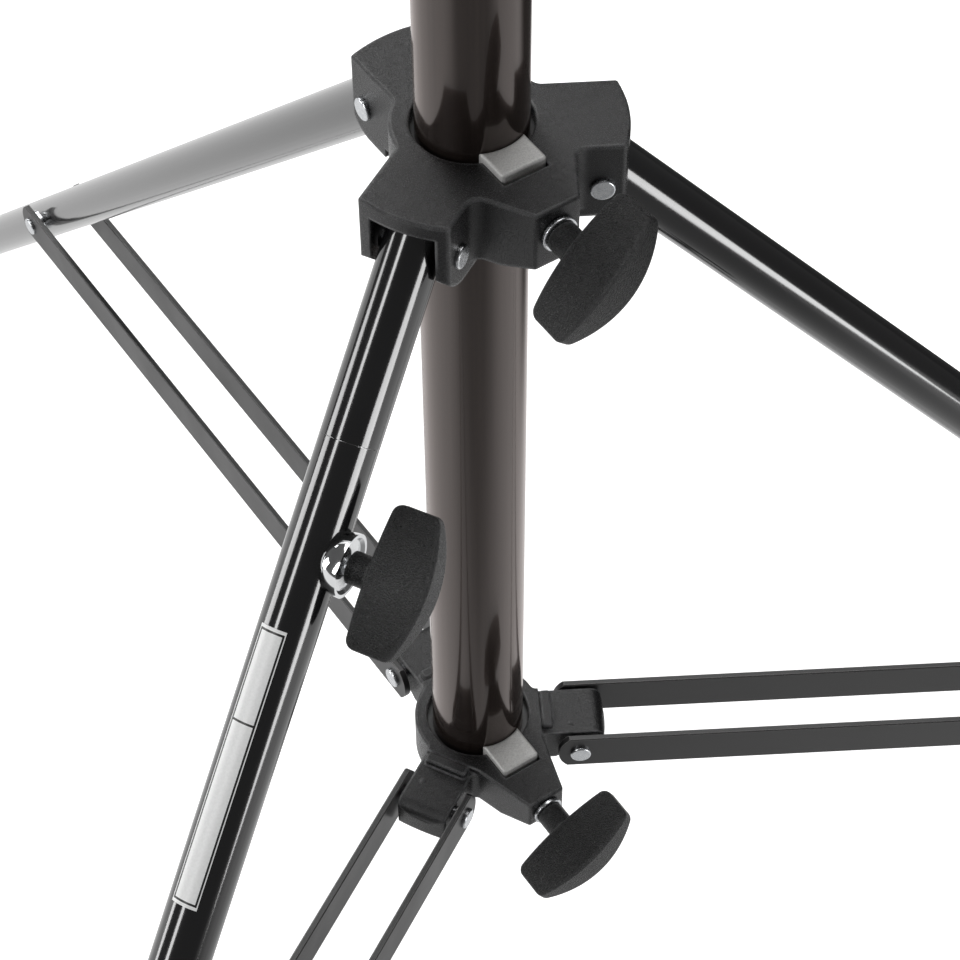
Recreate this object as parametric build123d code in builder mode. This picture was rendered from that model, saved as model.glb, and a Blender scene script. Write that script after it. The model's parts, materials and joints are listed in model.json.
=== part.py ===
from build123d import *
import os
from math import sin, cos, tan, radians, degrees, sqrt, hypot, atan2

# Heavy-duty three-section lighting stand on a folding tripod base with double
# spreader bars and one levelling leg.  Millimetres, +Z up, origin on the floor
# under the column axis.  Leg B points along +X, leg A at -120, leg C at +120.

# ---------------------------------------------------------------- driving sizes
LEG_AZ = {"a": -120.0, "b": 0.0, "c": 120.0}
CLAMP_AZ = -60.0          # every clamp screw on the column looks this way

R_COL, R_COL_IN = 22.5, 21.0      # column tube, 45 x 1.5
R_R1, R_R1_IN = 20.0, 18.5        # first riser, 40 x 1.5
R_R2, R_R2_IN = 17.5, 16.0        # second riser, 35 x 1.5
R_LEG, R_LEG_IN = 12.1, 10.55     # leg tube, about 24 mm
GAP = 0.05                        # running clearance on a radius

ZC = 614.0                # top plane of the leg collar
DROP = 396.8              # leg collar top down to brace collar top
ZB = ZC - DROP            # top plane of the brace collar
THETA = 45.8              # leg angle from vertical
R_PIV, Z_PIV = 49.15, -21.4       # leg pivot from column axis, below collar top
R_BP, Z_BP = 50.5, -13.7          # brace pivot on the lower collar
A_FOOT = 850.0            # pivot to sole centre along the leg
A_BRACE = 565.0           # pivot to brace pin along the leg
A_JOINT = 80.3            # top end of the levelling sleeve
A_LOCK = 126.0            # levelling clamp screw
LEVEL = 50.0              # travel of the levelling sleeve
COL_BOT, COL_TOP = 187.0, 1290.0

BAR_W, BAR_T = 22.0, 3.2  # spreader bar section
BAR_IN = 15.2             # inner face of a bar from the leg's middle plane
BAR_SQ = 5.8              # straight edges of a bar run this far past its end holes
BAR_OUT = BAR_IN + BAR_T

KL, KE, KM = 29.5, 18.7, 26.0     # wing half length, depth at the tips, depth in the middle
NECK_R, WASHER_R = 6.7, 7.8       # handle neck, and the washer head on its screw
KT, KT_END = 8.4, 2.9             # wing half thickness, in the middle and at the tips

os.makedirs("parts", exist_ok=True)


def save(block, name):
    block.part.label = name
    export_step(block.part, f"parts/{name}.step")


def unit(az):
    return Vector(cos(radians(az)), sin(radians(az)), 0)


def side(az):
    return Vector(-sin(radians(az)), cos(radians(az)), 0)


def radial(az, z, r=0.0):
    """Plane whose x runs outward at az, y is tangential and z is up."""
    return Plane(origin=unit(az) * r + Vector(0, 0, z), x_dir=unit(az), z_dir=(0, 0, 1))


def upright(az, z):
    """Plane holding the column axis: x runs outward at az, y is up, z is -tangential."""
    return Plane(origin=(0, 0, z), x_dir=unit(az), z_dir=-side(az))


def outward(az, z, r=0.0):
    """Plane facing outward at az, x tangential, y up."""
    return Plane(origin=unit(az) * r + Vector(0, 0, z), x_dir=side(az), z_dir=unit(az))


def leg_plane(az, a=0.0):
    """Plane square to a leg, origin on its axis at distance a from the pivot; x lateral, y up-normal."""
    u = unit(az)
    d = u * sin(radians(THETA)) - Vector(0, 0, cos(radians(THETA)))
    o = u * R_PIV + Vector(0, 0, ZC + Z_PIV) + d * a
    return Plane(origin=o, x_dir=side(az), z_dir=d)


def leg_cross(az, a, lat=0.0):
    """Plane square to a leg's cross pin at distance a, offset lat sideways; z lateral, x down the leg."""
    p = leg_plane(az, a)
    return Plane(origin=p.origin + p.x_dir * lat, x_dir=p.z_dir, z_dir=p.x_dir)


def level(pl, h, tol=0.02):
    """Edges whose middle lies h above pl."""
    return lambda e: abs(pl.to_local_coords(e.position_at(0.5)).Z - h) < tol


def wing_plane(az, z, r, psi):
    """Plane of a T-handle: x along the wing, y outward along its screw, turned psi about the screw."""
    w = side(az) * cos(radians(psi)) + Vector(0, 0, sin(radians(psi)))
    return Plane(origin=unit(az) * r + Vector(0, 0, z), x_dir=w, z_dir=w.cross(unit(az)))


def tee_knob(pl, neck, name):
    """Moulded T-handle: lens-shaped wing, thick in the middle and thin at the tips, with
    straight ends and a curved back, a round neck towards the screw and a blind hole for it."""
    across = Plane(origin=pl.origin, x_dir=pl.x_dir, z_dir=pl.y_dir)
    with BuildPart() as knob:
        with BuildSketch(pl) as outline:
            with BuildLine():
                Polyline((-KL, KE), (-KL, 0.0), (KL, 0.0), (KL, KE))
                ThreePointArc((KL, KE), (0, KM), (-KL, KE))
            make_face()
            fillet(outline.vertices(), 4.0)
        extrude(amount=KT + 2, both=True)
        with BuildSketch(across.offset(-1)):
            with BuildLine():
                ThreePointArc((-KL - 1, KT_END), (0, KT), (KL + 1, KT_END))
                Line((KL + 1, KT_END), (KL + 1, -KT_END))
                ThreePointArc((KL + 1, -KT_END), (0, -KT), (-KL - 1, -KT_END))
                Line((-KL - 1, -KT_END), (-KL - 1, KT_END))
            make_face()
        extrude(amount=KM + 3, mode=Mode.INTERSECT)
        rim = knob.edges().filter_by(lambda e: e.length > 3.0 and abs(pl.to_local_coords(e.position_at(0.5)).Z) > 1.0)
        fillet(rim, 1.5)
        with BuildSketch(across.offset(-neck)):
            Circle(NECK_R)
        extrude(amount=neck + 2.6)
        fillet(knob.edges().filter_by(level(across, -neck)), 0.8)
        with BuildSketch(across.offset(-neck)):
            Circle(4.03)
        extrude(amount=neck + 12.0, mode=Mode.SUBTRACT)
    save(knob, name)
    return knob


def clamp_screw(az, z, r_tip, r_boss, r_wing, name):
    """Zinc-plated clamp screw: plain shank from the pad into the handle, with a washer head at the boss."""
    with BuildPart() as screw:
        with BuildSketch(outward(az, z, r_tip)):
            Circle(4.0)
        extrude(amount=r_wing + 11.5 - r_tip)
        with BuildSketch(outward(az, z, r_boss + 0.15)):
            Circle(WASHER_R)
        extrude(amount=2.2)
        fillet(screw.edges().filter_by(GeomType.CIRCLE).filter_by(lambda e: abs(e.radius - WASHER_R) < 0.01), 0.7)
    save(screw, name)


def clamp_pad(az, z_low, z_top, r_in, r_out, width, z_screw, name):
    """Cast pad that the screw presses on the tube: hollow inner face, bevelled top."""
    with BuildPart() as pad:
        with BuildSketch(radial(az, z_low)):
            with Locations(((r_out + r_in) / 2 - 3.0, 0)):
                Rectangle(r_out - r_in + 6.0, width)
        extrude(amount=z_top - z_low)
        with BuildSketch(Plane.XY.offset(z_low - 1)):
            Circle(r_in)
        extrude(amount=z_top - z_low + 2, mode=Mode.SUBTRACT)
        fillet(pad.edges().filter_by(Axis.Z).filter_by(lambda e: hypot(e.center().X, e.center().Y) > r_out - 1), 1.6)
        fillet(pad.edges().group_by(Axis.Z)[-1], 1.3)
    save(pad, name)


# ============================================================ column and its plug
with BuildPart() as column_tube:
    with BuildSketch(Plane.XY.offset(COL_BOT)):
        Circle(R_COL)
        Circle(R_COL_IN, mode=Mode.SUBTRACT)
    extrude(amount=COL_TOP - COL_BOT)
save(column_tube, "column_tube")

with BuildPart() as column_end_plug:
    with BuildSketch(Plane.XY.offset(COL_BOT - 4)):
        Circle(R_COL - 0.1)
    extrude(amount=4)
    with BuildSketch(Plane.XY.offset(COL_BOT)):
        Circle(R_COL_IN - 0.03)
    extrude(amount=20)
    with BuildSketch(Plane.XY.offset(COL_BOT + 3)):
        Circle(R_COL_IN - 3)
    extrude(amount=18, mode=Mode.SUBTRACT)
    fillet(column_end_plug.edges().sort_by(Axis.Z)[0], 1.5)
save(column_end_plug, "column_end_plug")

# ==================================================================== leg collar
SCREW_Z = -13.0           # clamp screw axis below a collar's top plane
BOSS_R = 58.0
HUB_R, BORE_R = 32.5, 24.35
ARM_H, CHEEK, GAP_W, PLATE = 36.0, 19.2, 13.9, 7.0
PAD_W = 20.4
HUB_H, HUB2_H = 31.5, 23.5  # hub depths of the leg and brace collars

with BuildPart() as leg_collar:
    # plan of the casting: hub, three arms ending on one circle, tapered clamp boss
    with BuildSketch(Plane.XY.offset(ZC - 40)) as plan:
        Circle(HUB_R)
        with PolarLocations(0, 3):
            with Locations((42, 0)):
                Rectangle(44, 2 * CHEEK)
        Circle(61, mode=Mode.INTERSECT)
        with Locations(Location((0, 0, 0), (0, 0, CLAMP_AZ))):
            Polygon((20, -12), (34, -24.4), (BOSS_R, -10), (BOSS_R, 10), (34, 24.4), (20, 12), align=None)
        fillet([v for v in plan.vertices() if hypot(v.X, v.Y) < 45], 5.0)
        fillet([v for v in plan.vertices() if hypot(v.X, v.Y) > 57.5], 1.4)
    extrude(amount=40)
    fillet(leg_collar.edges().group_by(Axis.Z)[-1], 1.1)
    # underside of the arms, with the lower outer corners rounded about the pivot
    for az in LEG_AZ.values():
        with BuildSketch(upright(az, ZC)):
            with BuildLine():
                Polyline((64, -22), (64, -42), (34, -42), (34, -ARM_H), (45, -ARM_H))
                ThreePointArc((45, -ARM_H), (56.2, -31.6), (61.4, -22))
                Line((61.4, -22), (64, -22))
            make_face()
        extrude(amount=21, both=True, mode=Mode.SUBTRACT)
    # underside of the boss rises outward
    with BuildSketch(upright(CLAMP_AZ, ZC)):
        Polygon((44, -HUB_H - 0.5), (62, -26.5), (70, -26.5), (70, -45), (44, -45), align=None)
    extrude(amount=19, both=True, mode=Mode.SUBTRACT)
    # hub and boss are shallower than the arms
    with BuildSketch(Plane.XY.offset(ZC - 41)):
        Circle(80)
        with PolarLocations(0, 3):
            with Locations((34.0 + 25, 0)):
                Rectangle(50, 2 * CHEEK, mode=Mode.SUBTRACT)
    extrude(amount=41 - HUB_H, mode=Mode.SUBTRACT)
    for az in LEG_AZ.values():
        # clevis slot under the top plate
        with BuildSketch(radial(az, ZC - PLATE)):
            with Locations((52, 0)):
                Rectangle(38, 2 * GAP_W)
        extrude(amount=-40, mode=Mode.SUBTRACT)
        with BuildSketch(upright(az, ZC)):
            with Locations((R_PIV, Z_PIV)):
                Circle(4.0 + GAP)
        extrude(amount=24, both=True, mode=Mode.SUBTRACT)
    with BuildSketch(Plane.XY.offset(ZC - 45)):
        Circle(BORE_R)
    extrude(amount=50, mode=Mode.SUBTRACT)
    fillet(leg_collar.edges().filter_by(GeomType.CIRCLE).filter_by(
        lambda e: abs(e.radius - BORE_R) < 0.01 and e.center().Z > ZC - 1), 0.8)
    with BuildSketch(radial(CLAMP_AZ, ZC - 30)):
        with Locations((27, 0)):
            Rectangle(2 * (37.7 - 27), PAD_W + 0.3)
    extrude(amount=31, mode=Mode.SUBTRACT)
    with BuildSketch(outward(CLAMP_AZ, ZC + SCREW_Z, 30)):
        Circle(4.0 + GAP)
    extrude(amount=40, mode=Mode.SUBTRACT)
save(leg_collar, "leg_collar")

with BuildPart() as leg_collar_bush:
    with BuildSketch(Plane.XY.offset(ZC - HUB_H)):
        Circle(BORE_R - 0.03)
        Circle(R_COL + GAP, mode=Mode.SUBTRACT)
    extrude(amount=HUB_H - 6.0)
    with BuildSketch(radial(CLAMP_AZ, ZC - 31)):
        with Locations((25, 0)):
            Rectangle(20, PAD_W + 0.6)
    extrude(amount=35, mode=Mode.SUBTRACT)
save(leg_collar_bush, "leg_collar_bush")

clamp_pad(CLAMP_AZ, ZC - 28, ZC + 3.2, R_COL + 0.02, 36.0, PAD_W, ZC + SCREW_Z, "leg_collar_pad")
clamp_screw(CLAMP_AZ, ZC + SCREW_Z, 36.0 + 0.02, BOSS_R, 72.0, "leg_collar_screw")
tee_knob(wing_plane(CLAMP_AZ, ZC + SCREW_Z, 72.0, 47.0), 72.0 - BOSS_R - 2.5, "leg_collar_knob")

# ================================================================== brace collar
LUG_H, LUG_W, LUG_R, LUG_TOP = 21.0, 13.2, 64.0, 3.2
BOSS2_R = 60.8

with BuildPart() as brace_collar:
    # plan of the casting: ring, three lugs, tapered clamp boss
    with BuildSketch(Plane.XY.offset(ZB - HUB2_H)) as plan:
        Circle(31.5)
        with PolarLocations(0, 3):
            with Locations(((LUG_R + 22) / 2, 0)):
                Rectangle(LUG_R - 18, 2 * LUG_W)
        Circle(LUG_R, mode=Mode.INTERSECT)
        with Locations(Location((0, 0, 0), (0, 0, CLAMP_AZ))):
            Polygon((18, -10), (24, -20.9), (BOSS2_R, -9.8), (BOSS2_R, 9.8), (24, 20.9), (18, 10), align=None)
        fillet([v for v in plan.vertices() if hypot(v.X, v.Y) < 40], 3.0)
        fillet([v for v in plan.vertices() if hypot(v.X, v.Y) > 58], 1.2)
    extrude(amount=HUB2_H)
    fillet(brace_collar.edges().group_by(Axis.Z)[-1], 0.9)
    for az in LEG_AZ.values():
        # underside of a lug, and its well rounded outer top edge
        with BuildSketch(upright(az, ZB)):
            Polygon((34, -27), (42, -LUG_H), (62, -LUG_H), (LUG_R + 1, -LUG_H + 3), (LUG_R + 1, -30), (34, -30), align=None)
        extrude(amount=17, both=True, mode=Mode.SUBTRACT)
        with BuildSketch(upright(az, ZB)):
            # the lug top lies below the ring, and rolls over at its outer end
            with BuildLine():
                Line((LUG_R + 1, -LUG_TOP - 6.5), (LUG_R - 0.3, -LUG_TOP - 6.5))
                ThreePointArc((LUG_R - 0.3, -LUG_TOP - 6.5), (LUG_R - 2.2, -LUG_TOP - 1.9), (LUG_R - 6.8, -LUG_TOP))
                Polyline((LUG_R - 6.8, -LUG_TOP), (31.6, -LUG_TOP), (31.0, 1), (LUG_R + 1, 1), (LUG_R + 1, -LUG_TOP - 6.5))
            make_face()
        extrude(amount=17, both=True, mode=Mode.SUBTRACT)
    with BuildSketch(upright(CLAMP_AZ, ZB)):
        Polygon((42, -HUB2_H - 0.5), (64, -15.5), (72, -15.5), (72, -32), (42, -32), align=None)
    extrude(amount=17, both=True, mode=Mode.SUBTRACT)
    for az in LEG_AZ.values():
        with BuildSketch(upright(az, ZB)):
            with Locations((R_BP, Z_BP)):
                Circle(4.0 + GAP)
        extrude(amount=24, both=True, mode=Mode.SUBTRACT)
        # raised bar across the root of each lug
        with BuildSketch(radial(az, ZB - LUG_TOP - 1)):
            with Locations((34.4, 0)):
                RectangleRounded(5.6, 22.0, 1.6)
        extrude(amount=LUG_TOP + 1.9)
        fillet(brace_collar.edges().filter_by(
            lambda e: abs(e.position_at(0.5).Z - ZB - 0.9) < 0.02 and abs(e.position_at(0).Z - ZB - 0.9) < 0.02), 0.85)
        # small moulding pip on the lug top
        with BuildSketch(radial(az, ZB - LUG_TOP - 0.5)):
            with Locations((46.5, -7.3)):
                Circle(1.1)
        extrude(amount=1.0)
    with BuildSketch(Plane.XY.offset(ZB - 35)):
        Circle(25.3)
    extrude(amount=45, mode=Mode.SUBTRACT)
    fillet(brace_collar.edges().filter_by(GeomType.CIRCLE).filter_by(
        lambda e: abs(e.radius - 25.3) < 0.01 and e.center().Z > ZB - 1), 0.7)
    with BuildSketch(radial(CLAMP_AZ, ZB - 22)):
        with Locations((27, 0)):
            Rectangle(2 * (40.6 - 27), PAD_W + 0.3)
    extrude(amount=25, mode=Mode.SUBTRACT)
    with BuildSketch(outward(CLAMP_AZ, ZB - 10.0, 30)):
        Circle(4.0 + GAP)
    extrude(amount=40, mode=Mode.SUBTRACT)
save(brace_collar, "brace_collar")

with BuildPart() as brace_collar_bush:
    with BuildSketch(Plane.XY.offset(ZB - HUB2_H)):
        Circle(25.27)
        Circle(R_COL + GAP, mode=Mode.SUBTRACT)
    extrude(amount=HUB2_H - 5.5)
    with BuildSketch(radial(CLAMP_AZ, ZB - 23)):
        with Locations((25, 0)):
            Rectangle(20, PAD_W + 0.6)
    extrude(amount=35, mode=Mode.SUBTRACT)
save(brace_collar_bush, "brace_collar_bush")

clamp_pad(CLAMP_AZ, ZB - 20, ZB + 3.2, R_COL + 0.02, 39.0, PAD_W, ZB - 10.0, "brace_collar_pad")
clamp_screw(CLAMP_AZ, ZB - 10.0, 39.0 + 0.02, BOSS2_R, 75.5, "brace_collar_screw")
tee_knob(wing_plane(CLAMP_AZ, ZB - 10.0, 75.5, 29.0), 75.5 - BOSS2_R - 2.5, "brace_collar_knob")

# ========================================================================= legs
TUBE_END = 822.0
BALL_R, BALL_H = 14.8, 10.0       # foot radius passes between the spreader bars when folded
A_BALL = A_FOOT - BALL_H / cos(radians(THETA))


def leg_tube(az, a0, a1, r_out, r_in, holes, name, one_sided=None):
    with BuildPart() as tube:
        with BuildSketch(leg_plane(az, a0)):
            Circle(r_out)
            Circle(r_in, mode=Mode.SUBTRACT)
        extrude(amount=a1 - a0)
        for a, r in holes:
            with BuildSketch(leg_cross(az, a)):
                Circle(r)
            extrude(amount=20, both=True, mode=Mode.SUBTRACT)
        if one_sided:
            with BuildSketch(leg_cross(az, one_sided[0], 6.0)):
                Circle(one_sided[1])
            extrude(amount=14, mode=Mode.SUBTRACT)
    save(tube, name)


def leg_foot(az, name):
    """Rubber ball foot on the tube end, with a flat sole on the floor."""
    with BuildPart() as foot:
        pl = leg_plane(az, 0)
        half = Plane(origin=pl.origin, x_dir=pl.x_dir, z_dir=-pl.y_dir)   # x lateral, y down the leg
        with BuildSketch(half):
            with BuildLine():
                Polyline((0, 798), (BALL_R - 1.2, 798), (BALL_R, 799.2), (BALL_R, A_BALL))
                ThreePointArc(
                    (BALL_R, A_BALL),
                    (BALL_R * sin(radians(45)), A_BALL + BALL_R * cos(radians(45))),
                    (0, A_BALL + BALL_R),
                )
                Line((0, A_BALL + BALL_R), (0, 798))
            make_face()
        revolve(axis=Axis(pl.origin, pl.z_dir))
        with BuildSketch(leg_plane(az, 790)):
            Circle(R_LEG + 0.02)
        extrude(amount=TUBE_END + 0.05 - 790, mode=Mode.SUBTRACT)
        with BuildSketch(Plane.XY):
            Rectangle(3000, 3000)
        extrude(amount=-60, mode=Mode.SUBTRACT)
    save(foot, name)


def end_plug(az, name):
    """Moulded plug in the top end of a leg tube, with the cross bore for the pivot pin."""
    with BuildPart() as plug:
        with BuildSketch(leg_plane(az, -6.6)):
            Circle(R_LEG_IN - 0.03)
        extrude(amount=31.6)
        with BuildSketch(leg_cross(az, 0)):
            Circle(4.0 + GAP)
        extrude(amount=20, both=True, mode=Mode.SUBTRACT)
    save(plug, name)


def cross_pin(az, a, half, head_r, head_t, name):
    """Headed pivot pin across a leg at distance a."""
    with BuildPart() as pin:
        with BuildSketch(leg_cross(az, a)):
            Circle(4.0)
        extrude(amount=half + 0.2, both=True)
        for s in (1, -1):
            with BuildSketch(leg_cross(az, a, s * (half + 0.1))):
                Circle(head_r)
            extrude(amount=s * head_t)
        fillet(pin.edges().filter_by(lambda e: abs(abs(leg_cross(az, a).to_local_coords(e.center()).Z) - (half + 0.1 + head_t)) < 0.02), 0.8)
    save(pin, name)


for leg, az in LEG_AZ.items():
    end_plug(az, f"leg_{leg}_end_plug")
    cross_pin(az, 0, CHEEK, 5.0, 1.6, f"leg_{leg}_pivot_pin")
    leg_foot(az, f"leg_{leg}_foot")

for leg in ("b", "c"):
    leg_tube(LEG_AZ[leg], -6.8, TUBE_END, R_LEG, R_LEG_IN, ((0, 4.0 + GAP), (A_BRACE, 4.02)), f"leg_{leg}_tube")

# levelling leg: short upper tube, with the inner tube fixed in it
leg_tube(LEG_AZ["a"], -6.8, A_JOINT - 0.15, R_LEG, R_LEG_IN, ((0, 4.0 + GAP),), "leg_a_upper_tube")
# levelling leg: the inner tube carries the brace pin through two long slots in the sleeve
leg_tube(LEG_AZ["a"], 26.0, 590.0, R_LEG_IN - 0.04, 8.8, ((A_BRACE, 4.02),), "leg_a_inner_tube")
with BuildPart() as leg_a_lower_tube:
    with BuildSketch(leg_plane(LEG_AZ["a"], A_JOINT + 0.15)):
        Circle(R_LEG)
        Circle(R_LEG_IN, mode=Mode.SUBTRACT)
    extrude(amount=TUBE_END - A_JOINT - 0.15)
    with BuildSketch(leg_cross(LEG_AZ["a"], A_BRACE - LEVEL / 2)):
        SlotCenterToCenter(LEVEL, 8.1)
    extrude(amount=20, both=True, mode=Mode.SUBTRACT)
    with BuildSketch(leg_cross(LEG_AZ["a"], A_LOCK, 6.0)):
        Circle(4.0 + GAP)
    extrude(amount=14, mode=Mode.SUBTRACT)
save(leg_a_lower_tube, "leg_a_lower_tube")

SADDLE_R = 13.2           # half ball, round side on the tube, dished towards the handle
with BuildPart() as leg_a_saddle:
    pl = leg_cross(LEG_AZ["a"], A_LOCK)
    prof = Plane(origin=pl.origin, x_dir=pl.x_dir, z_dir=-pl.y_dir)   # x down the leg, y lateral
    with BuildSketch(prof):
        with BuildLine():
            ThreePointArc((0, 3.0), (SADDLE_R * sin(radians(45)), 16.2 - SADDLE_R * cos(radians(45))), (SADDLE_R, 16.2))
            Polyline((SADDLE_R, 16.2), (SADDLE_R, 16.4), (11.7, 16.4), (10.5, 15.0), (0, 15.0), (0, 3.0))
        make_face()
    revolve(axis=Axis(pl.origin, pl.z_dir))
    with BuildSketch(leg_plane(LEG_AZ["a"], A_LOCK - 20)):
        Circle(R_LEG + 0.02)
    extrude(amount=40, mode=Mode.SUBTRACT)
    with BuildSketch(pl):
        Circle(4.0 + GAP)
    extrude(amount=30, mode=Mode.SUBTRACT)
save(leg_a_saddle, "leg_a_saddle")

with BuildPart() as leg_a_lock_pad:
    with BuildSketch(leg_cross(LEG_AZ["a"], A_LOCK, R_LEG_IN + 0.02)):
        Circle(3.95)
    extrude(amount=2.6)
save(leg_a_lock_pad, "leg_a_lock_pad")

A_WING = 25.5
with BuildPart() as leg_a_lock_screw:
    with BuildSketch(leg_cross(LEG_AZ["a"], A_LOCK, R_LEG_IN + 2.66)):
        Circle(4.0)
    extrude(amount=A_WING + 11.5 - R_LEG_IN - 2.66)
save(leg_a_lock_screw, "leg_a_lock_screw")

pl = leg_plane(LEG_AZ["a"], A_LOCK)
wing = pl.z_dir * cos(radians(5.8)) + pl.z_dir.cross(pl.x_dir) * sin(radians(5.8))
tee_knob(
    Plane(origin=pl.origin + pl.x_dir * A_WING, x_dir=wing, z_dir=wing.cross(pl.x_dir)),
    A_WING - 16.5,
    "leg_a_lock_knob",
)

# blank data plate wrapped on the sleeve
with BuildPart() as leg_a_label:
    with BuildSketch(leg_plane(LEG_AZ["a"], 157.0)):
        Circle(R_LEG + 0.24)
        Circle(R_LEG + 0.02, mode=Mode.SUBTRACT)
        Polygon((0, 0), (30 * cos(radians(69)), 30 * sin(radians(69))), (30 * cos(radians(98)), 30 * sin(radians(98))),
                (30 * cos(radians(126)), 30 * sin(radians(126))), align=None, mode=Mode.INTERSECT)
    extrude(amount=115.5)
save(leg_a_label, "leg_a_label")

with BuildPart() as leg_pivot_washers:
    for az in LEG_AZ.values():
        for s in (1, -1):
            with BuildSketch(leg_cross(az, 0, s * 12.3)):
                Circle(7.0)
                Circle(4.0 + GAP, mode=Mode.SUBTRACT)
            extrude(amount=s * 1.5)
save(leg_pivot_washers, "leg_pivot_washers")

# cross pins that carry the spreader bars on the legs
for leg, az in LEG_AZ.items():
    with BuildPart() as leg_brace_pin:
        with BuildSketch(leg_cross(az, A_BRACE)):
            Circle(4.0)
        extrude(amount=BAR_IN - 0.1, both=True)
        for s in (1, -1):
            with BuildSketch(leg_cross(az, A_BRACE, s * (R_LEG + 0.15))):
                Circle(7.5)
            extrude(amount=s * (BAR_IN - 0.1 - R_LEG - 0.15))
    save(leg_brace_pin, f"leg_{leg}_brace_pin")

# ================================================================ spreader bars
PR = R_PIV + A_BRACE * sin(radians(THETA))
PZ = ZC + Z_PIV - A_BRACE * cos(radians(THETA))
LR, LZ = R_BP, ZB + Z_BP
BAR_L = hypot(PR - LR, PZ - LZ)
BETA = degrees(atan2(PZ - LZ, PR - LR))


def bar_plane(az, lat=0.0):
    """Plane along a spreader: origin at the collar pin, x along the bar, z = -tangential, offset lat."""
    o = unit(az) * LR + Vector(0, 0, LZ) + side(az) * lat
    x = unit(az) * cos(radians(BETA)) + Vector(0, 0, sin(radians(BETA)))
    return Plane(origin=o, x_dir=x, z_dir=side(az) * -1)


for leg, az in LEG_AZ.items():
    with BuildPart() as brace_bars:
        for s in (1, -1):
            with BuildSketch(bar_plane(az, s * BAR_IN)):
                # flat bar with shallow rounded ends
                with BuildLine():
                    Line((-BAR_SQ, BAR_W / 2), (BAR_L + BAR_SQ, BAR_W / 2))
                    ThreePointArc((BAR_L + BAR_SQ, BAR_W / 2), (BAR_L + BAR_W / 2, 0), (BAR_L + BAR_SQ, -BAR_W / 2))
                    Line((BAR_L + BAR_SQ, -BAR_W / 2), (-BAR_SQ, -BAR_W / 2))
                    ThreePointArc((-BAR_SQ, -BAR_W / 2), (-BAR_W / 2, 0), (-BAR_SQ, BAR_W / 2))
                make_face()
                with Locations((0, 0), (BAR_L, 0)):
                    Circle(4.02, mode=Mode.SUBTRACT)
            extrude(amount=-s * BAR_T)
        chamfer(brace_bars.edges().filter_by(lambda e: e.length > 300), 0.5)
    save(brace_bars, f"brace_{leg}_bars")

    with BuildPart() as collar_pin:
        with BuildSketch(bar_plane(az)):
            Circle(4.0)
        extrude(amount=BAR_OUT + 0.2, both=True)
        for s in (1, -1):
            with BuildSketch(bar_plane(az, s * (BAR_OUT + 0.05))):
                Circle(5.2)
            extrude(amount=-s * 1.8)
        fillet(collar_pin.edges().filter_by(lambda e: abs(abs(bar_plane(az).to_local_coords(e.center()).Z) - (BAR_OUT + 1.85)) < 0.02), 0.9)
    save(collar_pin, f"brace_{leg}_collar_pin")

    with BuildPart() as brace_rivets:
        for s in (1, -1):
            with BuildSketch(bar_plane(az, s * BAR_IN)):
                with Locations((BAR_L, 0)):
                    Circle(4.0)
            extrude(amount=-s * (BAR_T + 0.1))
            with BuildSketch(bar_plane(az, s * (BAR_OUT + 0.05))):
                with Locations((BAR_L, 0)):
                    Circle(5.2)
            extrude(amount=-s * 1.8)
        fillet(brace_rivets.edges().filter_by(lambda e: abs(abs(bar_plane(az).to_local_coords(e.center()).Z) - (BAR_OUT + 1.85)) < 0.02), 0.9)
    save(brace_rivets, f"brace_{leg}_rivets")

# ================================================================ riser clamps


def riser_clamp(z0, z_step, z_top, r_low, r_up, r_hub, n, r_wing, psi):
    """Clamp on the top end of a tube that grips the next smaller tube."""
    boss = r_hub + 23.0
    zs = (z_step + z_top) / 2 + 1.0
    pad_out = r_up + 14.0
    with BuildPart() as casting:
        with BuildSketch(Plane.XY.offset(z0)):
            Circle(r_hub)
        extrude(amount=z_top - z0)
        with BuildSketch(radial(CLAMP_AZ, z_step + 0.5)):
            Polygon((r_hub - 12, -r_hub * 0.78), (r_hub, -r_hub * 0.66), (boss, -10), (boss, 10), (r_hub, r_hub * 0.66), (r_hub - 12, r_hub * 0.78), align=None)
        extrude(amount=z_top - z_step - 0.5)
        fillet(casting.edges().group_by(Axis.Z)[0], 2.0)
        chamfer(casting.edges().group_by(Axis.Z)[-1], 1.2)
        with BuildSketch(Plane.XY.offset(z0 - 1)):
            Circle(r_low + 0.02)
        extrude(amount=z_step - z0 + 1, mode=Mode.SUBTRACT)
        with BuildSketch(Plane.XY.offset(z0 - 1)):
            Circle(r_up + GAP)
        extrude(amount=z_top - z0 + 2, mode=Mode.SUBTRACT)
        with BuildSketch(radial(CLAMP_AZ, z_step + 3.0)):
            with Locations(((pad_out + 1.7 + 12) / 2, 0)):
                Rectangle(pad_out + 1.7 - 12, PAD_W + 0.3)
        extrude(amount=z_top - z_step, mode=Mode.SUBTRACT)
        with BuildSketch(outward(CLAMP_AZ, zs, r_up + 6)):
            Circle(4.0 + GAP)
        extrude(amount=50, mode=Mode.SUBTRACT)
    save(casting, f"riser_clamp_{n}")
    clamp_pad(CLAMP_AZ, z_step + 4.0, z_top + 3.0, r_up + 0.02, pad_out, PAD_W, zs, f"riser_clamp_{n}_pad")
    clamp_screw(CLAMP_AZ, zs, pad_out + 0.02, boss, r_wing, f"riser_clamp_{n}_screw")
    tee_knob(wing_plane(CLAMP_AZ, zs, r_wing, psi), r_wing - boss - 2.5, f"riser_clamp_{n}_knob")


R1_TOP, R2_TOP = 1372.0, 1452.0
riser_clamp(1258.0, COL_TOP, 1326.0, R_COL, R_R1, 31.0, 1, 72.0, 20.0)
riser_clamp(1344.0, R1_TOP, 1408.0, R_R1, R_R2, 28.5, 2, 69.5, -15.0)

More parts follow.
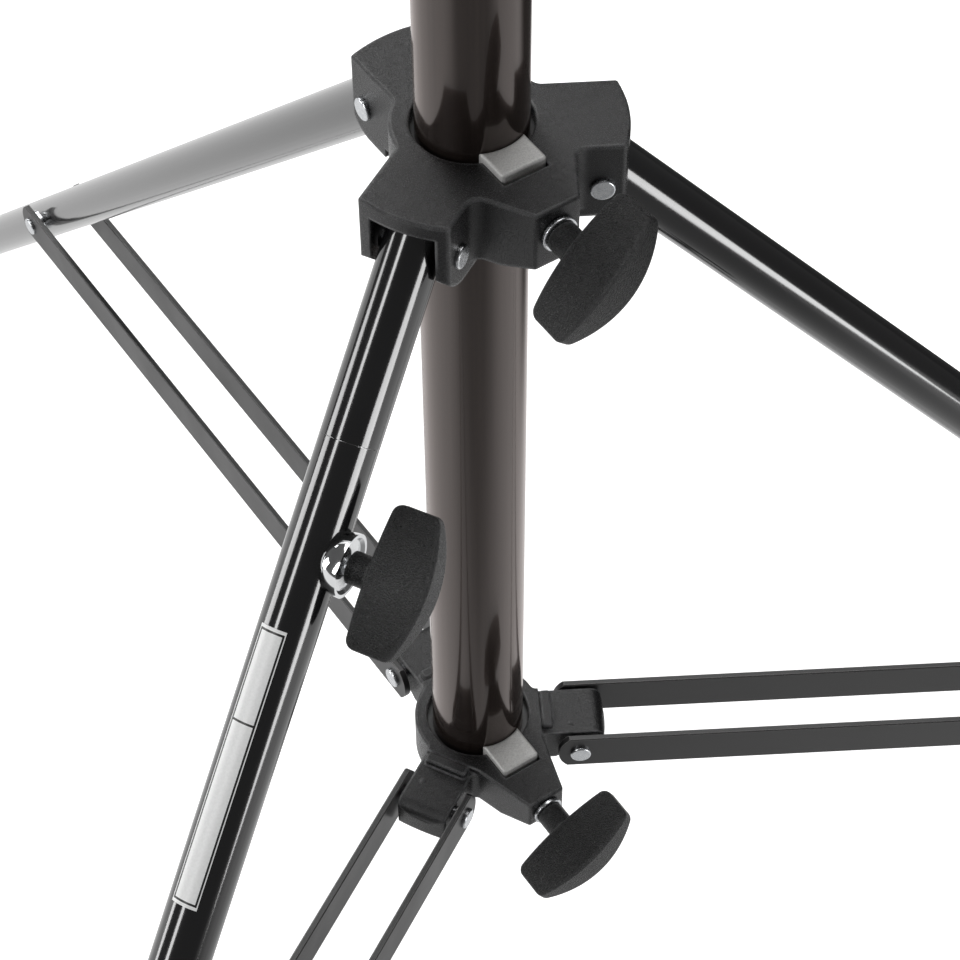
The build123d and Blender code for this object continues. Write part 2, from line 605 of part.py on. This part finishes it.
# ================================================================ risers
for n, r_out, r_in, z_lo, z_hi, r_fit in (
    (1, R_R1, R_R1_IN, 236.0, R1_TOP, R_COL_IN),
    (2, R_R2, R_R2_IN, 300.0, R2_TOP, R_R1_IN),
):
    with BuildPart() as riser:
        with BuildSketch(Plane.XY.offset(z_lo)):
            Circle(r_out)
            Circle(r_in, mode=Mode.SUBTRACT)
        extrude(amount=z_hi - z_lo)
    save(riser, f"riser_{n}_tube")
    # air-cushion piston on the bottom end: a flanged cup with two sealing lands
    with BuildPart() as piston:
        with BuildSketch(Plane.XY.offset(z_lo - 22)):
            Circle(r_fit - GAP)
        extrude(amount=21.9)
        with BuildSketch(Plane.XY.offset(z_lo - 15)):
            Circle(r_fit + 1)
            Circle(r_fit - 1.6, mode=Mode.SUBTRACT)
        extrude(amount=8, mode=Mode.SUBTRACT)
        with BuildSketch(Plane.XY.offset(z_lo - 0.2)):
            Circle(r_in - 0.03)
        extrude(amount=18)
        with BuildSketch(Plane.XY.offset(z_lo - 23)):
            Circle(1.5)
        extrude(amount=50, mode=Mode.SUBTRACT)
    save(piston, f"riser_{n}_piston")

# ================================================================ top socket
SOCK_LO, SOCK_HI, SOCK_SCREW = 1424.0, 1510.0, 1487.0
SOCK_BOSS = 32.0
with BuildPart() as top_socket:
    with BuildSketch(Plane.XY.offset(SOCK_LO)):
        Circle(21.0)
    extrude(amount=SOCK_HI - SOCK_LO)
    with BuildSketch(Plane.XY.offset(R2_TOP + 2)):
        Circle(23.0)
    extrude(amount=5)
    with BuildSketch(outward(CLAMP_AZ, SOCK_SCREW, 10)):
        Circle(10.5)
    extrude(amount=SOCK_BOSS - 10)
    fillet(top_socket.edges().group_by(Axis.Z)[0], 1.5)
    chamfer(top_socket.edges().group_by(Axis.Z)[-1], 1.2)
    with BuildSketch(Plane.XY.offset(SOCK_LO - 1)):
        Circle(R_R2 + 0.02)
    extrude(amount=R2_TOP - SOCK_LO + 1.02, mode=Mode.SUBTRACT)
    with BuildSketch(Plane.XY.offset(R2_TOP + 6)):
        Circle(14.35)
    extrude(amount=80, mode=Mode.SUBTRACT)
    with BuildSketch(outward(CLAMP_AZ, SOCK_SCREW, 5)):
        Circle(4.0 + GAP)
    extrude(amount=50, mode=Mode.SUBTRACT)
save(top_socket, "top_socket")

with BuildPart() as top_socket_screw:
    with BuildSketch(outward(CLAMP_AZ, SOCK_SCREW, 14.45)):
        Circle(4.0)
    extrude(amount=48.0 + 11.5 - 14.45)
    with BuildSketch(outward(CLAMP_AZ, SOCK_SCREW, SOCK_BOSS + 0.15)):
        Circle(WASHER_R)
    extrude(amount=2.2)
save(top_socket_screw, "top_socket_screw")
tee_knob(wing_plane(CLAMP_AZ, SOCK_SCREW, 48.0, 0.0), 48.0 - SOCK_BOSS - 2.5, "top_socket_knob")

# 28 mm base with a 16 mm spigot, waisted for a lamp's locking screw
with BuildPart() as top_spigot:
    with BuildSketch(Plane.XZ):
        with BuildLine():
            Polyline(
                (0, 1459), (12.8, 1459), (14.3, 1460.5), (14.3, 1510.1), (16.5, 1510.1), (16.5, 1513.0), (15.5, 1514.0),
                (8, 1514.0), (8, 1524), (6.6, 1525.4), (6.6, 1529.6), (8, 1531), (8, 1546), (6.8, 1547.2), (0, 1547.2), (0, 1459),
            )
        make_face()
    revolve(axis=Axis.Z)
save(top_spigot, "top_spigot")
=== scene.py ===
import json
import math
import bpy
import bmesh
import numpy as np
from mathutils import Vector, Matrix

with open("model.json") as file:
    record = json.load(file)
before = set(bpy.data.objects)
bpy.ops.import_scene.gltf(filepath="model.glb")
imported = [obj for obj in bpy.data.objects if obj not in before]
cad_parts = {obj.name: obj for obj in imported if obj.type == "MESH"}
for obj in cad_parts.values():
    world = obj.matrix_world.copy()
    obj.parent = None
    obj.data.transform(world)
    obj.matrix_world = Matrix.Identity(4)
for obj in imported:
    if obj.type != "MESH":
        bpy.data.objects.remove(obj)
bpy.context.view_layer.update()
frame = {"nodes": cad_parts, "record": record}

NODES = frame["nodes"]
SLOT = {s["node"]: s["material_slot"] for s in frame["record"]["subparts"]}


# ------------------------------------------------------------------ materials
class Nodes:
    """Short helper to wire a procedural material."""

    def __init__(self, name):
        self.mat = bpy.data.materials.new(name)
        self.mat.use_nodes = True
        self.t = self.mat.node_tree
        self.t.nodes.clear()
        self.out = self.add("ShaderNodeOutputMaterial")
        self.b = self.add("ShaderNodeBsdfPrincipled")
        self.link(self.b, "BSDF", self.out, "Surface")
        self.co = self.add("ShaderNodeTexCoord")

    def add(self, kind, **values):
        n = self.t.nodes.new(kind)
        for k, v in values.items():
            setattr(n, k, v)
        return n

    def link(self, a, out, b, inp):
        self.t.links.new(a.outputs[out], b.inputs[inp])

    def mapping(self, scale=(1, 1, 1), rot=(0, 0, 0)):
        m = self.add("ShaderNodeMapping")
        m.inputs["Scale"].default_value = scale
        m.inputs["Rotation"].default_value = rot
        self.link(self.co, "Object", m, "Vector")
        return m

    def noise(self, scale, detail=3.0, rough=0.5, source=None, distortion=0.0):
        n = self.add("ShaderNodeTexNoise")
        n.inputs["Scale"].default_value = scale
        n.inputs["Detail"].default_value = detail
        n.inputs["Roughness"].default_value = rough
        n.inputs["Distortion"].default_value = distortion
        if source is None:
            self.link(self.co, "Object", n, "Vector")
        else:
            self.link(source, "Vector", n, "Vector")
        return n

    def ramp(self, a, out, stops):
        r = self.add("ShaderNodeValToRGB")
        e = r.color_ramp.elements
        while len(e) > 1:
            e.remove(e[-1])
        e[0].position, e[0].color = stops[0][0], _c(stops[0][1])
        for p, c in stops[1:]:
            x = e.new(p)
            x.color = _c(c)
        self.link(a, out, r, "Fac")
        return r

    def mix(self, fac, a, b):
        m = self.add("ShaderNodeMix", data_type="RGBA")
        if isinstance(fac, tuple):
            self.link(fac[0], fac[1], m, "Factor")
        else:
            m.inputs["Factor"].default_value = fac
        for i, v in ((6, a), (7, b)):
            if isinstance(v, tuple) and not isinstance(v[0], (int, float)):
                self.t.links.new(v[0].outputs[v[1]], m.inputs[i])
            else:
                m.inputs[i].default_value = _c(v)
        return m

    def math(self, op, a, b=None, clamp=False):
        m = self.add("ShaderNodeMath", operation=op, use_clamp=clamp)
        for i, v in ((0, a), (1, b)):
            if v is None:
                continue
            if isinstance(v, tuple):
                self.link(v[0], v[1], m, i)
            else:
                m.inputs[i].default_value = v
        return m

    def edge(self, radius, low=0.93, high=0.995):
        """White on edges, a painted highlight and partly wear: where a rounded normal leaves the true one."""
        bev = self.add("ShaderNodeBevel", samples=6)
        bev.inputs["Radius"].default_value = radius
        geo = self.add("ShaderNodeNewGeometry")
        dot = self.add("ShaderNodeVectorMath", operation="DOT_PRODUCT")
        self.link(bev, "Normal", dot, 0)
        self.link(geo, "Normal", dot, 1)
        r = self.ramp(dot, "Value", [(low, (1, 1, 1)), (high, (0, 0, 0))])
        return r, bev

    def bump(self, source, out, strength, distance, under=None):
        b = self.add("ShaderNodeBump")
        b.inputs["Strength"].default_value = strength
        b.inputs["Distance"].default_value = distance
        self.link(source, out, b, "Height")
        if under is not None:
            self.link(under, "Normal", b, "Normal")
        return b

    def set(self, **values):
        for k, v in values.items():
            self.b.inputs[k.replace("_", " ")].default_value = v


def _c(v):
    v = tuple(v)
    return v if len(v) == 4 else v + (1.0,)


def black_chrome():
    """Column and risers: dark, slightly bronze plated tube with drawn streaks along it."""
    m = Nodes("black_chrome_tube")
    streak = m.noise(60, 4, 0.6, m.mapping((9, 9, 0.12)))
    cloud = m.noise(7, 3, 0.5)
    col = m.ramp(streak, "Fac", [(0.3, (0.024, 0.019, 0.017)), (0.7, (0.036, 0.029, 0.026))])
    m.link(col, "Color", m.b, "Base Color")
    r = m.ramp(cloud, "Fac", [(0.3, (0.15,) * 3), (0.7, (0.22,) * 3)])
    m.link(r, "Color", m.b, "Roughness")
    m.set(Metallic=0.45, IOR=1.7, Coat_Weight=0.62, Coat_IOR=1.55, Coat_Roughness=0.07)
    m.b.inputs["Specular Tint"].default_value = (1.0, 0.86, 0.82, 1.0)
    m.b.inputs["Coat Tint"].default_value = (1.0, 0.93, 0.90, 1.0)
    b = m.bump(streak, "Fac", 0.06, 0.0002)
    m.link(b, "Normal", m.b, "Normal")
    return m.mat


def gloss_black():
    """Legs: high-gloss black anodised tube with a few hairline scratches."""
    m = Nodes("gloss_black_tube")
    fine = m.noise(900, 2, 0.5)
    cloud = m.noise(14, 3, 0.5)
    col = m.ramp(cloud, "Fac", [(0.3, (0.0065, 0.0065, 0.007)), (0.7, (0.010, 0.010, 0.0105))])
    m.link(col, "Color", m.b, "Base Color")
    scr = m.add("ShaderNodeTexVoronoi", feature="DISTANCE_TO_EDGE")
    scr.inputs["Scale"].default_value = 55
    m.link(m.mapping((1, 1, 0.25), (0.5, 0.3, 0.1)), "Vector", scr, "Vector")
    sr = m.ramp(scr, "Distance", [(0.0, (0.20,) * 3), (0.006, (0.13,) * 3)])
    m.link(sr, "Color", m.b, "Roughness")
    m.set(Metallic=0.0, IOR=1.6, Coat_Weight=0.8, Coat_Roughness=0.085)
    b = m.bump(fine, "Fac", 0.02, 0.00005)
    m.link(b, "Normal", m.b, "Normal")
    return m.mat


def powder_coat():
    """Die castings: satin black powder coat, fine orange peel, edges painted lighter as a highlight and partly rubbed
    wear.
    """
    m = Nodes("powder_coated_casting")
    grain = m.noise(2600, 3, 0.6)
    peel = m.noise(420, 2, 0.5)
    # edge mask, broken up by the wear noise, mixes the base to light grey: painted highlight along the edges, partly
    # rubbed wear
    edge, bev = m.edge(0.0021, 0.93, 0.998)
    wear = m.noise(160, 4, 0.6)
    fac = m.math("MULTIPLY", (edge, "Color"), (m.ramp(wear, "Fac", [(0.25, (0.15,) * 3), (0.75, (0.9,) * 3)]), "Color"))
    base = m.ramp(peel, "Fac", [(0.3, (0.0055, 0.0055, 0.0058)), (0.7, (0.0085, 0.0085, 0.009))])
    mix = m.mix((fac, "Value"), (base, "Color"), (0.24, 0.24, 0.245))
    m.link(mix, 2, m.b, "Base Color")
    r = m.ramp(grain, "Fac", [(0.3, (0.19,) * 3), (0.7, (0.31,) * 3)])
    m.link(r, "Color", m.b, "Roughness")
    b1 = m.bump(peel, "Fac", 0.10, 0.0004, bev)
    b2 = m.bump(grain, "Fac", 0.60, 0.00035, b1)
    m.link(b2, "Normal", m.b, "Normal")
    m.set(Metallic=0.0, IOR=1.5, Specular_IOR_Level=0.5)
    return m.mat


def bar_paint():
    """Spreader bars: satin black paint on rolled flat bar, edges painted brighter as a highlight and partly rubbed
    wear.
    """
    m = Nodes("painted_flat_bar")
    grain = m.noise(1800, 2, 0.5)
    wide = m.noise(30, 3, 0.5)
    edge, bev = m.edge(0.0006, 0.90, 0.992)
    base = m.ramp(wide, "Fac", [(0.3, (0.017, 0.0165, 0.017)), (0.7, (0.024, 0.0235, 0.024))])
    # edges mixed to grey: painted highlight, partly rubbed wear
    mix = m.mix((edge, "Color"), (base, "Color"), (0.30, 0.295, 0.29))
    m.link(mix, 2, m.b, "Base Color")
    r = m.ramp(wide, "Fac", [(0.3, (0.30,) * 3), (0.7, (0.40,) * 3)])
    m.link(r, "Color", m.b, "Roughness")
    b = m.bump(grain, "Fac", 0.10, 0.00008, bev)
    m.link(b, "Normal", m.b, "Normal")
    return m.mat


def grained_nylon():
    """T-handles: black glass-filled nylon with a fine spark-eroded grain, edges rounded in shading and painted lighter
    as a highlight.
    """
    m = Nodes("grained_nylon")
    grain = m.noise(1400, 4, 0.65)
    speck = m.noise(900, 2, 0.5)
    edge, bev = m.edge(0.0018, 0.93, 0.998)
    base = m.ramp(speck, "Fac", [(0.3, (0.0032, 0.0032, 0.0034)), (0.7, (0.0075, 0.0075, 0.0078))])
    # edges mixed to a lighter grey: painted highlight
    mix = m.mix((edge, "Color"), (base, "Color"), (0.12, 0.12, 0.122))
    m.link(mix, 2, m.b, "Base Color")
    r = m.ramp(speck, "Fac", [(0.3, (0.24,) * 3), (0.7, (0.38,) * 3)])
    m.link(r, "Color", m.b, "Roughness")
    b = m.bump(grain, "Fac", 1.0, 0.0009, bev)
    m.link(b, "Normal", m.b, "Normal")
    m.set(IOR=1.5, Specular_IOR_Level=0.5)
    return m.mat


def moulded_black():
    m = Nodes("moulded_black")
    grain = m.noise(1500, 2, 0.5)
    r = m.ramp(grain, "Fac", [(0.3, (0.32,) * 3), (0.7, (0.45,) * 3)])
    c = m.ramp(grain, "Fac", [(0.3, (0.012,) * 3), (0.7, (0.02,) * 3)])
    m.link(c, "Color", m.b, "Base Color")
    m.link(r, "Color", m.b, "Roughness")
    b = m.bump(grain, "Fac", 0.08, 0.0001)
    m.link(b, "Normal", m.b, "Normal")
    return m.mat


def black_rubber():
    m = Nodes("black_rubber")
    grain = m.noise(700, 4, 0.6)
    dust = m.noise(45, 4, 0.6)
    c = m.ramp(dust, "Fac", [(0.35, (0.014,) * 3), (0.75, (0.035, 0.034, 0.033))])
    r = m.ramp(dust, "Fac", [(0.3, (0.62,) * 3), (0.7, (0.82,) * 3)])
    m.link(c, "Color", m.b, "Base Color")
    m.link(r, "Color", m.b, "Roughness")
    b = m.bump(grain, "Fac", 0.25, 0.0002)
    m.link(b, "Normal", m.b, "Normal")
    return m.mat


def sand_cast():
    """Clamp pads: raw grey casting with a sandy, pitted skin and edges painted brighter as a highlight."""
    m = Nodes("raw_cast_pad")
    sand = m.noise(1500, 5, 0.7)
    pits = m.noise(600, 3, 0.6)
    edge, bev = m.edge(0.0006, 0.90, 0.99)
    base = m.ramp(sand, "Fac", [(0.30, (0.46, 0.455, 0.45)), (0.5, (0.60, 0.595, 0.58)), (0.72, (0.74, 0.735, 0.72))])
    # edges mixed to near white: painted highlight
    mix = m.mix((edge, "Color"), (base, "Color"), (0.86, 0.85, 0.83))
    m.link(mix, 2, m.b, "Base Color")
    r = m.ramp(pits, "Fac", [(0.3, (0.42,) * 3), (0.7, (0.62,) * 3)])
    m.link(r, "Color", m.b, "Roughness")
    m.set(Metallic=0.25)
    b1 = m.bump(pits, "Fac", 0.25, 0.0004, bev)
    b2 = m.bump(sand, "Fac", 0.45, 0.00025, b1)
    m.link(b2, "Normal", m.b, "Normal")
    return m.mat


def zinc_plate():
    m = Nodes("zinc_plated_steel")
    spang = m.noise(500, 3, 0.6)
    wear = m.noise(1400, 3, 0.6)
    c = m.ramp(spang, "Fac", [(0.3, (0.60, 0.62, 0.65)), (0.7, (0.80, 0.81, 0.82))])
    r = m.ramp(wear, "Fac", [(0.3, (0.16,) * 3), (0.7, (0.34,) * 3)])
    m.link(c, "Color", m.b, "Base Color")
    m.link(r, "Color", m.b, "Roughness")
    m.set(Metallic=1.0)
    b = m.bump(wear, "Fac", 0.15, 0.00015)
    m.link(b, "Normal", m.b, "Normal")
    return m.mat


def chrome():
    m = Nodes("polished_chrome")
    n = m.noise(220, 3, 0.5)
    r = m.ramp(n, "Fac", [(0.3, (0.05,) * 3), (0.7, (0.12,) * 3)])
    c = m.ramp(n, "Fac", [(0.3, (0.78, 0.79, 0.80)), (0.7, (0.86, 0.87, 0.88))])
    m.link(c, "Color", m.b, "Base Color")
    m.link(r, "Color", m.b, "Roughness")
    m.set(Metallic=1.0)
    b = m.bump(n, "Fac", 0.03, 0.0001)
    m.link(b, "Normal", m.b, "Normal")
    return m.mat


def turned_steel():
    m = Nodes("turned_steel")
    rings = m.noise(900, 3, 0.6, m.mapping((0.05, 0.05, 3.0)))
    c = m.ramp(rings, "Fac", [(0.3, (0.42, 0.42, 0.43)), (0.7, (0.60, 0.60, 0.61))])
    r = m.ramp(rings, "Fac", [(0.3, (0.22,) * 3), (0.7, (0.36,) * 3)])
    m.link(c, "Color", m.b, "Base Color")
    m.link(r, "Color", m.b, "Roughness")
    m.set(Metallic=1.0)
    b = m.bump(rings, "Fac", 0.12, 0.0001)
    m.link(b, "Normal", m.b, "Normal")
    return m.mat


def drawn_aluminium():
    m = Nodes("drawn_aluminium")
    n = m.noise(300, 4, 0.6)
    c = m.ramp(n, "Fac", [(0.3, (0.50, 0.50, 0.51)), (0.7, (0.62, 0.62, 0.63))])
    r = m.ramp(n, "Fac", [(0.3, (0.25,) * 3), (0.7, (0.38,) * 3)])
    m.link(c, "Color", m.b, "Base Color")
    m.link(r, "Color", m.b, "Roughness")
    m.set(Metallic=1.0)
    b = m.bump(n, "Fac", 0.06, 0.0001)
    m.link(b, "Normal", m.b, "Normal")
    return m.mat


def plain_brass():
    m = Nodes("plain_brass")
    n = m.noise(600, 3, 0.6)
    c = m.ramp(n, "Fac", [(0.3, (0.62, 0.45, 0.20)), (0.7, (0.78, 0.60, 0.30))])
    r = m.ramp(n, "Fac", [(0.3, (0.24,) * 3), (0.7, (0.4,) * 3)])
    m.link(c, "Color", m.b, "Base Color")
    m.link(r, "Color", m.b, "Roughness")
    m.set(Metallic=1.0)
    return m.mat


def blank_label():
    """Silver film with two empty boxes outlined in black, placed along and round the levelling leg."""
    m = Nodes("label_silver")
    az, th = math.radians(-120.0), math.radians(45.8)
    out = Vector((math.cos(az), math.sin(az), 0.0))
    down = out * math.sin(th) - Vector((0, 0, math.cos(th)))
    side = Vector((-math.sin(az), math.cos(az), 0.0))
    up = down.cross(side)
    pivot = Vector(next(j["pos_m"] for j in frame["record"]["behaviour"]["joints"] if j["name"] == "leg_a_swing"))
    shift = m.add("ShaderNodeVectorMath", operation="SUBTRACT")
    m.link(m.co, "Object", shift, 0)
    shift.inputs[1].default_value = pivot

    def along(v):
        n = m.add("ShaderNodeVectorMath", operation="DOT_PRODUCT")
        m.link(shift, "Vector", n, 0)
        n.inputs[1].default_value = v
        return n

    a, x, y = along(down), along(side), along(up)
    ang = m.math("ARCTAN2", (y, "Value"), (x, "Value"))

    def line(src, out_name, at, half):
        d = m.math("SUBTRACT", (src, out_name), at)
        d = m.math("ABSOLUTE", (d, "Value"))
        return m.math("LESS_THAN", (d, "Value"), half)

    def inside(src, out_name, lo_v, hi_v):
        g = m.math("GREATER_THAN", (src, out_name), lo_v)
        l = m.math("LESS_THAN", (src, out_name), hi_v)
        return m.math("MULTIPLY", (g, "Value"), (l, "Value"))

    in_a = inside(a, "Value", 0.1583, 0.2712)
    in_w = inside(ang, "Value", math.radians(71.5), math.radians(123.5))
    rungs = [line(a, "Value", v, 0.00045) for v in (0.1588, 0.1960, 0.2707)]
    rails = [line(ang, "Value", math.radians(v), 0.034) for v in (73.0, 122.0)]
    total = rungs[0]
    for r in rungs[1:]:
        total = m.math("MAXIMUM", (total, "Value"), (r, "Value"))
    across = m.math("MULTIPLY", (total, "Value"), (in_w, "Value"))
    both = m.math("MAXIMUM", (rails[0], "Value"), (rails[1], "Value"))
    lengthways = m.math("MULTIPLY", (both, "Value"), (in_a, "Value"))
    ink = m.math("MAXIMUM", (across, "Value"), (lengthways, "Value"))
    n = m.noise(900, 3, 0.6)
    film = m.ramp(n, "Fac", [(0.3, (0.83, 0.835, 0.83)), (0.7, (0.90, 0.905, 0.90))])
    mix = m.mix((ink, "Value"), (film, "Color"), (0.012, 0.012, 0.012))
    m.link(mix, 2, m.b, "Base Color")
    r = m.ramp(n, "Fac", [(0.3, (0.30,) * 3), (0.7, (0.40,) * 3)])
    m.link(r, "Color", m.b, "Roughness")
    m.set(Metallic=0.0)
    b = m.bump(n, "Fac", 0.04, 0.00005)
    m.link(b, "Normal", m.b, "Normal")
    return m.mat


MATS = {
    "tube_black": black_chrome(),
    "leg_gloss": gloss_black(),
    "casting_black": powder_coat(),
    "bar_black": bar_paint(),
    "knob_plastic": grained_nylon(),
    "plastic_black": moulded_black(),
    "rubber_black": black_rubber(),
    "pad_cast": sand_cast(),
    "zinc": zinc_plate(),
    "chrome": chrome(),
    "spigot_steel": turned_steel(),
    "tube_bare": drawn_aluminium(),
    "brass_tip": plain_brass(),
    "label_foil": blank_label(),
}

for name, obj in NODES.items():
    obj.data.materials.clear()
    obj.data.materials.append(MATS[SLOT[name]])
    for p in obj.data.polygons:
        p.material_index = 0

# ------------------------------------------------------------------ stage
def stage_floor():
    """Pale floor. The camera sees it near white; reflections see a studio table that is
    bright in front and behind, and falls off dark behind leg B."""
    bm = bmesh.new()
    bmesh.ops.create_grid(bm, x_segments=8, y_segments=8, size=14.0)
    me = bpy.data.meshes.new("floor")
    bm.to_mesh(me)
    bm.free()
    o = bpy.data.objects.new("floor", me)
    bpy.context.scene.collection.objects.link(o)
    o.location = (0, 0, -0.0015)
    m = Nodes("pale_floor")
    n = m.noise(3, 2, 0.5)
    c = m.ramp(n, "Fac", [(0.3, (0.93,) * 3), (0.7, (0.95,) * 3)])
    m.link(c, "Color", m.b, "Base Color")
    m.set(Roughness=0.9)
    m.b.inputs["Emission Color"].default_value = (1, 1, 1, 1)
    m.b.inputs["Emission Strength"].default_value = 0.62
    sep = m.add("ShaderNodeSeparateXYZ")
    m.link(m.co, "Object", sep, "Vector")
    right = m.add("ShaderNodeMapRange", interpolation_type="SMOOTHSTEP")
    right.inputs["From Min"].default_value = 0.24
    right.inputs["From Max"].default_value = 0.46
    m.link(sep, "X", right, "Value")
    back = m.add("ShaderNodeMapRange", interpolation_type="SMOOTHSTEP")
    back.inputs["From Min"].default_value = 0.05
    back.inputs["From Max"].default_value = 0.35
    m.link(sep, "Y", back, "Value")
    dark = m.math("MULTIPLY", (right, "Result"), (back, "Result"))
    level = m.add("ShaderNodeMapRange")
    level.inputs["To Min"].default_value = FLOOR_BRIGHT
    level.inputs["To Max"].default_value = FLOOR_DARK
    m.link(dark, "Value", level, "Value")
    # and dimmer in front of the column than at its sides and behind it
    wide = m.math("ABSOLUTE", (sep, "X"))
    reach = m.math("ADD", (wide, "Value"), (sep, "Y"))
    front = m.add("ShaderNodeMapRange", interpolation_type="SMOOTHSTEP")
    front.inputs["From Min"].default_value = -0.42
    front.inputs["From Max"].default_value = 0.22
    front.inputs["To Min"].default_value = 0.34
    front.inputs["To Max"].default_value = 1.12
    m.link(reach, "Value", front, "Value")
    tone = m.math("MULTIPLY", (level, "Result"), (front, "Result"))
    glow = m.add("ShaderNodeEmission")
    m.link(tone, "Value", glow, "Strength")
    path = m.add("ShaderNodeLightPath")
    pick = m.add("ShaderNodeMixShader")
    m.link(path, "Is Camera Ray", pick, "Fac")
    m.link(glow, "Emission", pick, 1)
    m.link(m.b, "BSDF", pick, 2)
    m.link(pick, "Shader", m.out, "Surface")
    o.data.materials.append(m.mat)


FLOOR_BRIGHT, FLOOR_DARK = 0.75, 0.04
stage_floor()

world = bpy.data.worlds.new("studio")
bpy.context.scene.world = world
world.use_nodes = True
wt = world.node_tree
bg = wt.nodes["Background"]
path = wt.nodes.new("ShaderNodeLightPath")
tone = wt.nodes.new("ShaderNodeMapRange")
tone.inputs["To Min"].default_value = 0.10     # dim room for light and reflections
tone.inputs["To Max"].default_value = 1.0      # white backdrop for the camera
wt.links.new(path.outputs["Is Camera Ray"], tone.inputs["Value"])
wt.links.new(tone.outputs["Result"], bg.inputs["Strength"])
bg.inputs["Color"].default_value = (1, 1, 1, 1)


def softbox(name, loc, aim, size, power, size_y=None):
    l = bpy.data.lights.new(name, "AREA")
    l.energy = power
    l.shape = "RECTANGLE"
    l.size = size
    l.size_y = size_y or size
    o = bpy.data.objects.new(name, l)
    bpy.context.scene.collection.objects.link(o)
    o.location = loc
    d = Vector(aim) - Vector(loc)
    o.rotation_euler = d.to_track_quat("-Z", "Y").to_euler()
    return o


softbox("strip_left", (-2.3, -1.5, 1.95), (-0.15, -0.26, 0.3), 0.50, 26, 2.2)
softbox("low_right", (2.2, -2.0, 0.55), (0.1, -0.1, 0.4), 1.0, 24, 1.1)
softbox("low_left", (-3.0, 0.3, 0.8), (0.0, 0.0, 0.5), 0.9, 22, 1.4)
softbox("top", (0.3, 1.3, 4.0), (0, 0, 0.6), 2.6, 75)
softbox("back_left", (-1.6, 3.0, 2.2), (0, 0, 0.5), 1.8, 45, 1.2)

# ------------------------------------------------------------------ camera
YAW, PITCH, ROLL, FOCAL = 0.0027, 0.8724, -0.0073, 2584.6
TURN = math.radians(-3.25)
CAM = Vector((0.0, -0.7443, 0.614 + 0.6710))


def camera():
    f = Vector((math.sin(YAW) * math.cos(PITCH), math.cos(YAW) * math.cos(PITCH), -math.sin(PITCH)))
    r = Vector((math.cos(YAW), -math.sin(YAW), 0))
    u = r.cross(f)
    c, s = math.cos(ROLL), math.sin(ROLL)
    r2, u2 = c * r + s * u, -s * r + c * u
    R = Matrix.Rotation(TURN, 3, "Z")
    r2, u2, f, p = R @ r2, R @ u2, R @ f, R @ CAM
    cam = bpy.data.cameras.new("camera")
    cam.sensor_fit = "HORIZONTAL"
    cam.sensor_width = 36.0
    cam.lens = FOCAL * 36.0 / 960.0
    cam.clip_start = 0.02
    cam.clip_end = 60
    o = bpy.data.objects.new("camera", cam)
    bpy.context.scene.collection.objects.link(o)
    m = Matrix((
        (r2.x, u2.x, -f.x, p.x),
        (r2.y, u2.y, -f.y, p.y),
        (r2.z, u2.z, -f.z, p.z),
        (0, 0, 0, 1),
    ))
    o.matrix_world = m
    bpy.context.scene.camera = o


camera()
bpy.context.scene.view_settings.view_transform = "Standard"
